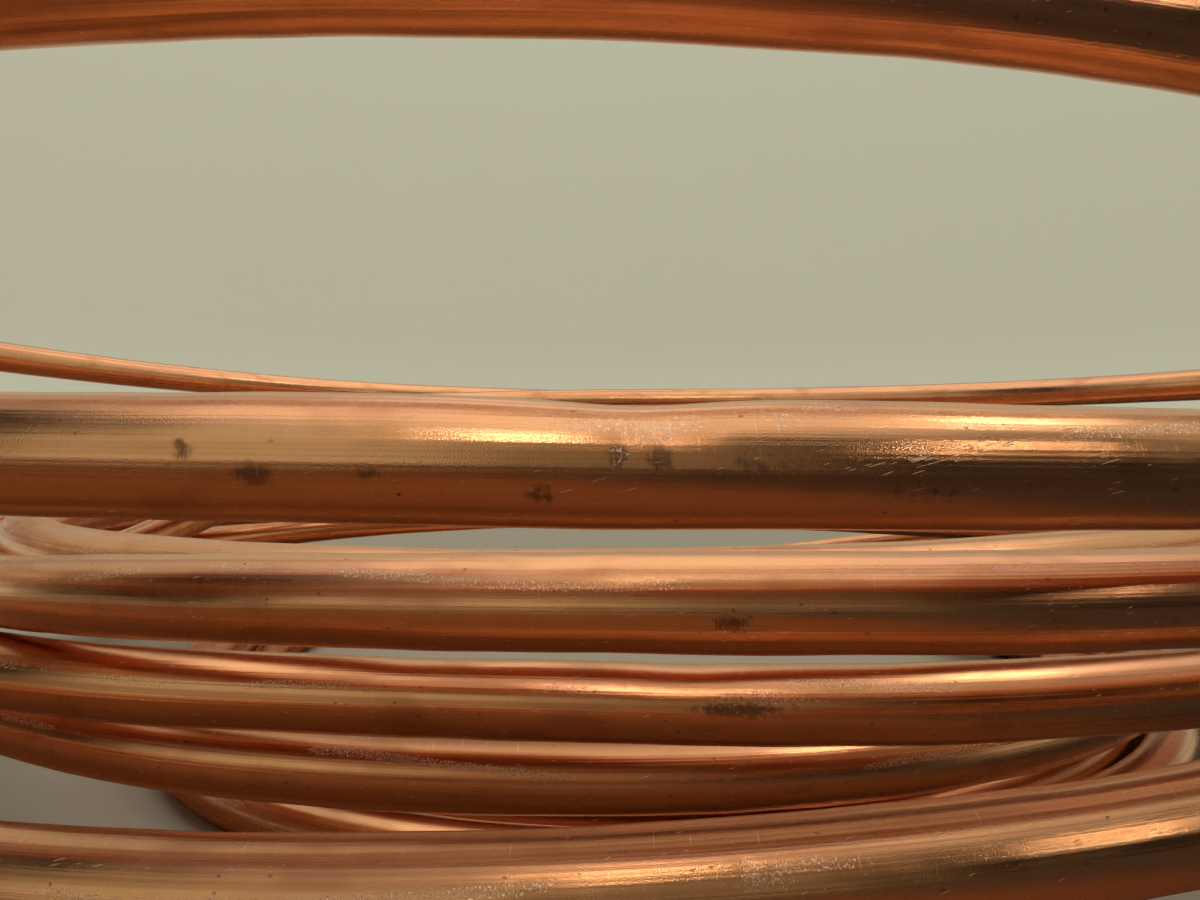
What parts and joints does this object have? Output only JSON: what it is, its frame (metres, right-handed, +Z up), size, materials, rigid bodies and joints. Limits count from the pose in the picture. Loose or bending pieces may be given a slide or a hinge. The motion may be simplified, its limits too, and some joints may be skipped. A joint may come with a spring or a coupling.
{
  "type": "copper tube coil",
  "caption": "Loose coil of soft copper tube with open square-cut ends, its lower turns flat on the floor and the upper turns sprung apart.",
  "frame": {"origin": "middle of the coil's box, at the floor that it lies on", "axes": "+Z up out of the floor, along the coil's winding axis; -Y towards the side seen in the picture; +X to the right there"},
  "size_m": [0.6804, 0.6074, 0.1792],
  "materials": {
    "copper": "satin bare copper with light tarnish and scuffs"
  },
  "bodies": {
    "root": {"copper_tube": "copper"}
  },
  "joints": []
}
